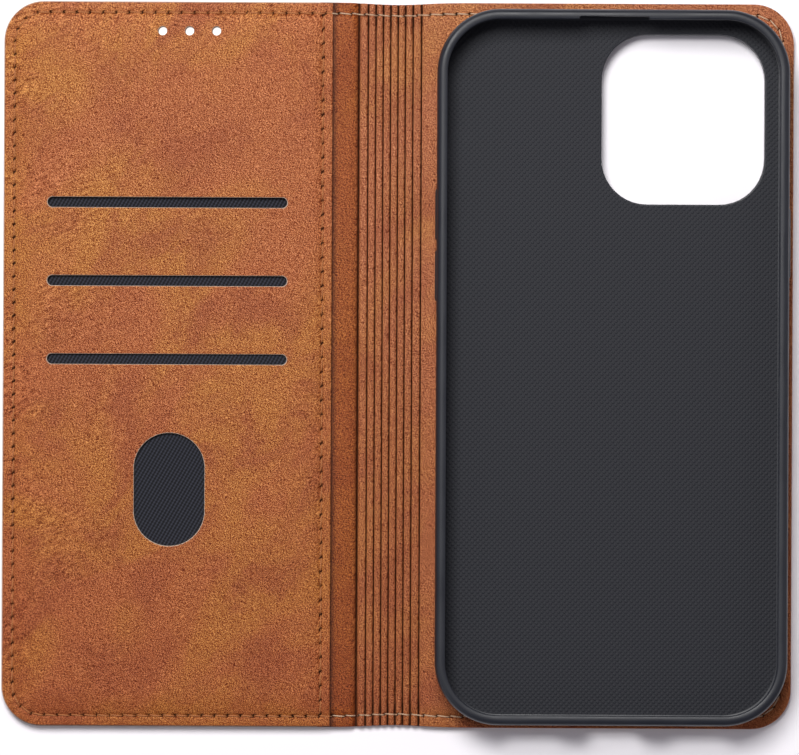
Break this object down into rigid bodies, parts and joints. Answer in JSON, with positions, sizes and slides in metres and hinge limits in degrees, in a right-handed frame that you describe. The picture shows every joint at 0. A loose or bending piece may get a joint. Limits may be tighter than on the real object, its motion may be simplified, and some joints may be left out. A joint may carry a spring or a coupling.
{
  "type": "folio phone wallet case",
  "caption": "Folding leather phone case lying open: card pockets in the front cover, pleated spine, and a moulded rubber phone tray in the back cover.",
  "frame": {"origin": "under the middle of the open case, on the surface that it lies on", "axes": "+X from the front cover to the back cover with the phone tray, +Y up the phone, +Z away from the table"},
  "size_m": [0.1816, 0.1666, 0.0126],
  "materials": {
    "outer_leather": "pebble-grained soft leather",
    "lining_leather": "fine-grained lining leather",
    "pocket_fabric": "black twill",
    "stiffener": "plain fibre-filled plastic sheet",
    "tray_rubber": "satin flexible plastic",
    "film": "clear-cream adhesive film",
    "magnet_steel": "nickel-plated"
  },
  "bodies": {
    "back_cover": {"back_outer_leather": "outer_leather", "back_board": "stiffener", "back_keeper_upper": "magnet_steel", "back_keeper_lower": "magnet_steel", "back_lining": "lining_leather", "tray_adhesive_film": "film", "phone_tray": "tray_rubber"},
    "spine": {"spine_outer_leather": "outer_leather", "spine_lining": "lining_leather"},
    "front_cover": {"front_outer_leather": "outer_leather", "front_board": "stiffener", "front_magnet_upper": "magnet_steel", "front_magnet_lower": "magnet_steel", "front_lining": "lining_leather", "pocket_backing": "pocket_fabric", "middle_pocket_divider": "pocket_fabric", "lower_pocket_divider": "pocket_fabric", "card_pocket_panel": "outer_leather"},
    "volume_up_button": {"volume_up_cover": "tray_rubber"},
    "volume_down_button": {"volume_down_cover": "tray_rubber"},
    "power_button": {"power_button_cover": "tray_rubber"}
  },
  "joints": [
    {"name": "back_fold", "type": "hinge", "parent": "back_cover", "child": "spine", "pos_m": [0.0072, 0, 0.0014], "axis": [0, 1, 0], "range_deg": [-90, 90]},
    {"name": "front_fold", "type": "hinge", "parent": "spine", "child": "front_cover", "pos_m": [-0.0074, 0, 0.0014], "axis": [0, 1, 0], "range_deg": [-90, 90]},
    {"name": "volume_up_press", "type": "slide", "parent": "back_cover", "child": "volume_up_button", "axis": [1, 0, 0], "range_m": [0, 0.0004], "stiffness_N_per_m": 600},
    {"name": "volume_down_press", "type": "slide", "parent": "back_cover", "child": "volume_down_button", "axis": [1, 0, 0], "range_m": [0, 0.0004], "stiffness_N_per_m": 600},
    {"name": "power_press", "type": "slide", "parent": "back_cover", "child": "power_button", "axis": [-1, 0, 0], "range_m": [0, 0.0004], "stiffness_N_per_m": 600}
  ]
}
